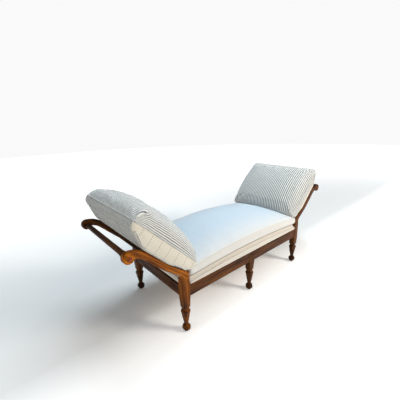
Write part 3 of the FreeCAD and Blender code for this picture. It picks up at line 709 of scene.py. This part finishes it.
# Painted light: the top panel's bluish linen paints the cool sky light on the mattress top, and
# it fades to a grey cream toward its long sides
linen_top_painted_sky = linen("linen_top_painted_sky", (0.580, 0.670, 0.750), 0.4,
                       edge=(0.715, 0.700, 0.680))
linen_border = linen("linen_border", (0.80, 0.770, 0.730), 1.3)
linen_deck = linen("linen_deck", (0.79, 0.725, 0.640), 2.6)
linen_seam = linen("linen_seam", (0.70, 0.665, 0.61), 5.1)
# Painted shade: dark linen for the low welt, which paints the shadow line in the gap between
# mattress and deck
linen_painted_gap_shade = linen("linen_painted_gap_shade", (0.34, 0.29, 0.235), 6.3)

# Deck: the height of its edge above the rail, its crown, half its length, and how far its
# upper edge is rounded down and in
RAIL_TOP = 0.348
DECK_EDGE, DECK_CROWN, DECK_HALF = 0.036, 0.028, 0.664
DECK_VOXEL = 0.008
DECK_DROP, DECK_DRAW_IN = 0.020, 0.007
DECK_EDGE_LEVEL, DECK_EDGE_BAND = (-0.020, 0.004), (0.310, 0.338)

# Mattress: its seam's height and crown, and the simulation's settings
MATTRESS_SEAM, MATTRESS_CROWN, MATTRESS_SEAM_HALF = 0.461, 0.044, 0.62
MATTRESS_HALF = 0.622
MATTRESS_VOXEL = 0.010
MATTRESS_SIMULATION = {"pressure": 2.0, "cap": 0.007, "grow": 0.004, "frames": 12}
MATTRESS_FOLD = 0.0018
# Distances over which its cloth goes from held to free, and how free it is at its ends
MATTRESS_BASE_FREE, MATTRESS_END_FREE = (0.010, 0.045), (0.004, 0.05)
MATTRESS_END_LOOSE = 0.25
# Lower edge of the mattress: its height, how far it is drawn in, and where across
HEM_HEIGHT, HEM_DRAW_IN, HEM_BAND = 0.040, 0.026, (0.30, 0.345)
# Path of the mattress's welts, their radius, and how high the low one is above the deck
WELT_HALF_LENGTH, WELT_HALF_WIDTH, MATTRESS_WELT_CORNER = 0.618, 0.343, 0.024
MATTRESS_WELT_RADIUS = 0.0030
HEM_WELT_RISE = 0.006
# Below this share of its normal that points up, a face is on the mattress's border
FACING_UP = 0.2


def crowned(x, edge, rise, half):
    """Height at x of a form whose middle is higher than its ends by rise."""
    return edge + rise * (1 - (x / half) ** 2)


def deck_top(x):
    """Height of the deck, which is where the mattress lies."""
    return crowned(x, RAIL_TOP + DECK_EDGE, DECK_CROWN, DECK_HALF)


def mattress_seam(x):
    """Height of the seam between the mattress's top panel and its border."""
    return crowned(x, MATTRESS_SEAM, MATTRESS_CROWN, MATTRESS_SEAM_HALF)


def round_under(obj):
    """Draw in the mattress's lower edge, where it lies on the deck."""
    for v in obj.data.vertices:
        above = step_up((v.co.z - deck_top(v.co.x)) / HEM_HEIGHT, 0.0, 1.0)
        edge = step_up(abs(v.co.y), *HEM_BAND)
        v.co.y -= math.copysign(HEM_DRAW_IN * edge * (1 - above), v.co.y)


def make_mattress():
    obj = padded_copy("mattress", "mattress_cloth", MATTRESS_VOXEL)

    def free(co):
        off_base = step_up(co.z - deck_top(co.x), *MATTRESS_BASE_FREE)
        off_end = step_up(MATTRESS_HALF - abs(co.x), *MATTRESS_END_FREE)
        return off_base * at_least(MATTRESS_END_LOOSE, off_end)

    round_under(obj)
    inflate(obj, free, **MATTRESS_SIMULATION)
    crease(obj, MATTRESS_FOLD, free, seed=5.0)
    tree = tree_of(obj)
    finish_cloth(obj, "mattress", "mattress",
                 (linen_top_painted_sky, linen_border))
    # Painted light: faces of the top panel get the bluish linen, which paints the sky's light
    # on the top; faces below the seam or facing sideways get the border's cream
    for face in obj.data.polygons:
        low = face.center.z < mattress_seam(face.center.x)
        on_border = low or face.normal.z < FACING_UP
        face.material_index = 1 if on_border else 0
    loop = rounded_loop(-WELT_HALF_LENGTH, WELT_HALF_LENGTH, -WELT_HALF_WIDTH, WELT_HALF_WIDTH,
                        MATTRESS_WELT_CORNER)
    seam = [Vector((x, y, mattress_seam(x))) for x, y in loop]
    # The low welt is a dark cord along the mattress's lower edge, which paints the shadow line
    # where the mattress overhangs the deck
    hem = [Vector((x, y, deck_top(x) + HEM_WELT_RISE)) for x, y in loop]
    for name, points, proud, material in (("mattress_welt_top", seam, 0.0006, linen_seam),
                                          ("mattress_welt_low", hem, 0.0010, linen_painted_gap_shade)):
        welt(name, points, MATTRESS_WELT_RADIUS, tree, proud, material, "mattress")


def make_deck():
    obj = padded_copy("seat_deck", "deck_cloth", DECK_VOXEL)
    for v in obj.data.vertices:
        share = step_up(v.co.z - deck_top(v.co.x), *DECK_EDGE_LEVEL)
        share *= step_up(abs(v.co.y), *DECK_EDGE_BAND)
        v.co.z -= DECK_DROP * share
        v.co.y -= math.copysign(DECK_DRAW_IN * share, v.co.y)
    finish_cloth(obj, "frame", "seat_deck", (linen_deck,))


make_mattress()
make_deck()


# Studio

FLOOR_RADIUS, FLOOR_POINTS, FLOOR_DROP = 14, 96, 0.0005
FLOOR_COLOR = (0.95, 0.93, 0.905, 1.0)
# Glow that the camera sees on the floor: from a distance on, and on the front side, where it is
# painted light that reaches in under the daybed's front; close beside and behind the daybed the
# glow is least
GLOW_FROM, GLOW_RISE = 0.85, 0.34
GLOW_NARROWING = (0.55, 1.0, 1.0)
FRONT_PAINTED_LIGHT_RISE, FRONT_PAINTED_LIGHT_MOST, LEAST_GLOW = -1.2, 0.36, 0.03

SKY_BELOW, SKY_ABOVE = (0.90, 0.88, 0.85, 1.0), (0.70, 0.87, 1.0, 1.0)
SKY_ABOVE_FROM, SKY_STRENGTH = 0.7, 0.22
BACKDROP = (0.95, 0.95, 0.95, 1.0)

# Camera as fitted to the feet, rails and posts in the photograph
CAMERA_PLACE = (-1.4585, -1.4490, 1.3188)
CAMERA_YAW, CAMERA_PITCH, CAMERA_ROLL = 0.702, 0.291, 0.033
CAMERA_LENS, CAMERA_SENSOR = 23.03, 36.0


def floor_material():
    """Pale floor with a glow that only the camera sees: white far off, painted light on the
    front side even under the daybed, and least close beside and behind it.
    """
    s = Shader("studio_floor")
    light = s.add("ShaderNodeLightPath")
    seen = s.plus(light.outputs["Is Camera Ray"], light.outputs["Is Glossy Ray"], clamp=True)
    squeezed = s.add("ShaderNodeVectorMath", operation="MULTIPLY")
    s.feed(s.place, squeezed.inputs[0])
    squeezed.inputs[1].default_value = GLOW_NARROWING
    far = s.add("ShaderNodeVectorMath", operation="LENGTH")
    s.feed(squeezed.outputs[0], far.inputs[0])
    distant = s.times(s.minus(far.outputs["Value"], GLOW_FROM), GLOW_RISE, clamp=True)
    # Painted light: the glow grows toward the front, also under the daybed's front half
    ahead = s.times(s.along(Y_AXIS), FRONT_PAINTED_LIGHT_RISE, clamp=True)
    near = s.plus(s.math("MINIMUM", ahead, FRONT_PAINTED_LIGHT_MOST), LEAST_GLOW)
    s.surface(Base_Color=FLOOR_COLOR, Roughness=0.95, Specular_IOR_Level=0.0,
              Emission_Color=(*WHITE, 1.0),
              Emission_Strength=s.times(seen, s.plus(distant, near)))
    return s.material


def make_floor():
    mesh = bpy.data.meshes.new("studio_floor")
    turns = [math.tau * i / FLOOR_POINTS for i in range(FLOOR_POINTS)]
    ring = [(FLOOR_RADIUS * math.cos(turn), FLOOR_RADIUS * math.sin(turn), -FLOOR_DROP)
            for turn in turns]
    mesh.from_pydata(ring, [], [list(range(FLOOR_POINTS))])
    obj = bpy.data.objects.new("studio_floor", mesh)
    bpy.context.scene.collection.objects.link(obj)
    mesh.materials.append(floor_material())


def area_light(name, place, aim, size, power, color):
    data = bpy.data.lights.new(name, "AREA")
    data.shape = "DISK"
    data.size = size
    data.energy = power
    data.color = color
    obj = bpy.data.objects.new(name, data)
    bpy.context.scene.collection.objects.link(obj)
    obj.location = place
    obj.rotation_euler = (Vector(aim) - Vector(place)).to_track_quat("-Z", "Y").to_euler()


def make_world():
    """Cool light from above and warmer light from the sides, with a white backdrop."""
    world = bpy.data.worlds.new("studio_world")
    bpy.context.scene.world = world
    world.use_nodes = True
    tree = world.node_tree
    sky = tree.nodes["Background"]
    place = tree.nodes.new("ShaderNodeTexCoord")
    parts = tree.nodes.new("ShaderNodeSeparateXYZ")
    ramp = tree.nodes.new("ShaderNodeValToRGB")
    tree.links.new(place.outputs["Generated"], parts.inputs[0])
    tree.links.new(parts.outputs["Z"], ramp.inputs[0])
    tree.links.new(ramp.outputs[0], sky.inputs["Color"])
    below, above = ramp.color_ramp.elements
    below.color = SKY_BELOW
    above.color = SKY_ABOVE
    above.position = SKY_ABOVE_FROM
    sky.inputs["Strength"].default_value = SKY_STRENGTH
    backdrop = tree.nodes.new("ShaderNodeBackground")
    backdrop.inputs["Color"].default_value = BACKDROP
    path = tree.nodes.new("ShaderNodeLightPath")
    mixed = tree.nodes.new("ShaderNodeMixShader")
    tree.links.new(path.outputs["Is Camera Ray"], mixed.inputs[0])
    tree.links.new(sky.outputs[0], mixed.inputs[1])
    tree.links.new(backdrop.outputs[0], mixed.inputs[2])
    tree.links.new(mixed.outputs[0], tree.nodes["World Output"].inputs["Surface"])


def make_camera():
    ahead = Vector((math.sin(CAMERA_YAW) * math.cos(CAMERA_PITCH),
                    math.cos(CAMERA_YAW) * math.cos(CAMERA_PITCH), -math.sin(CAMERA_PITCH)))
    level = Vector((math.cos(CAMERA_YAW), -math.sin(CAMERA_YAW), 0))
    down = ahead.cross(level)
    right = level * math.cos(CAMERA_ROLL) + down * math.sin(CAMERA_ROLL)
    up = level * math.sin(CAMERA_ROLL) - down * math.cos(CAMERA_ROLL)
    data = bpy.data.cameras.new("camera")
    data.lens = CAMERA_LENS
    data.sensor_width = CAMERA_SENSOR
    obj = bpy.data.objects.new("camera", data)
    bpy.context.scene.collection.objects.link(obj)
    turn = Matrix((right, up, -ahead)).transposed().to_4x4()
    obj.matrix_world = Matrix.Translation(CAMERA_PLACE) @ turn
    bpy.context.scene.camera = obj


make_floor()
make_world()
area_light("key", place=(1.7, -3.3, 2.5), aim=(0.0, 0.0, 0.4), size=1.4, power=122.0,
           color=(1.0, 0.955, 0.90))
area_light("top", place=(0.2, 0.3, 3.3), aim=(-0.2, 0.0, 0.4), size=1.7, power=62.0,
           color=(0.78, 0.91, 1.0))
area_light("fill", place=(-3.4, -0.7, 1.9), aim=(-0.8, 0.0, 0.7), size=2.4, power=21.0,
           color=(1.0, 0.95, 0.88))
make_camera()
bpy.context.scene.view_settings.view_transform = "Standard"
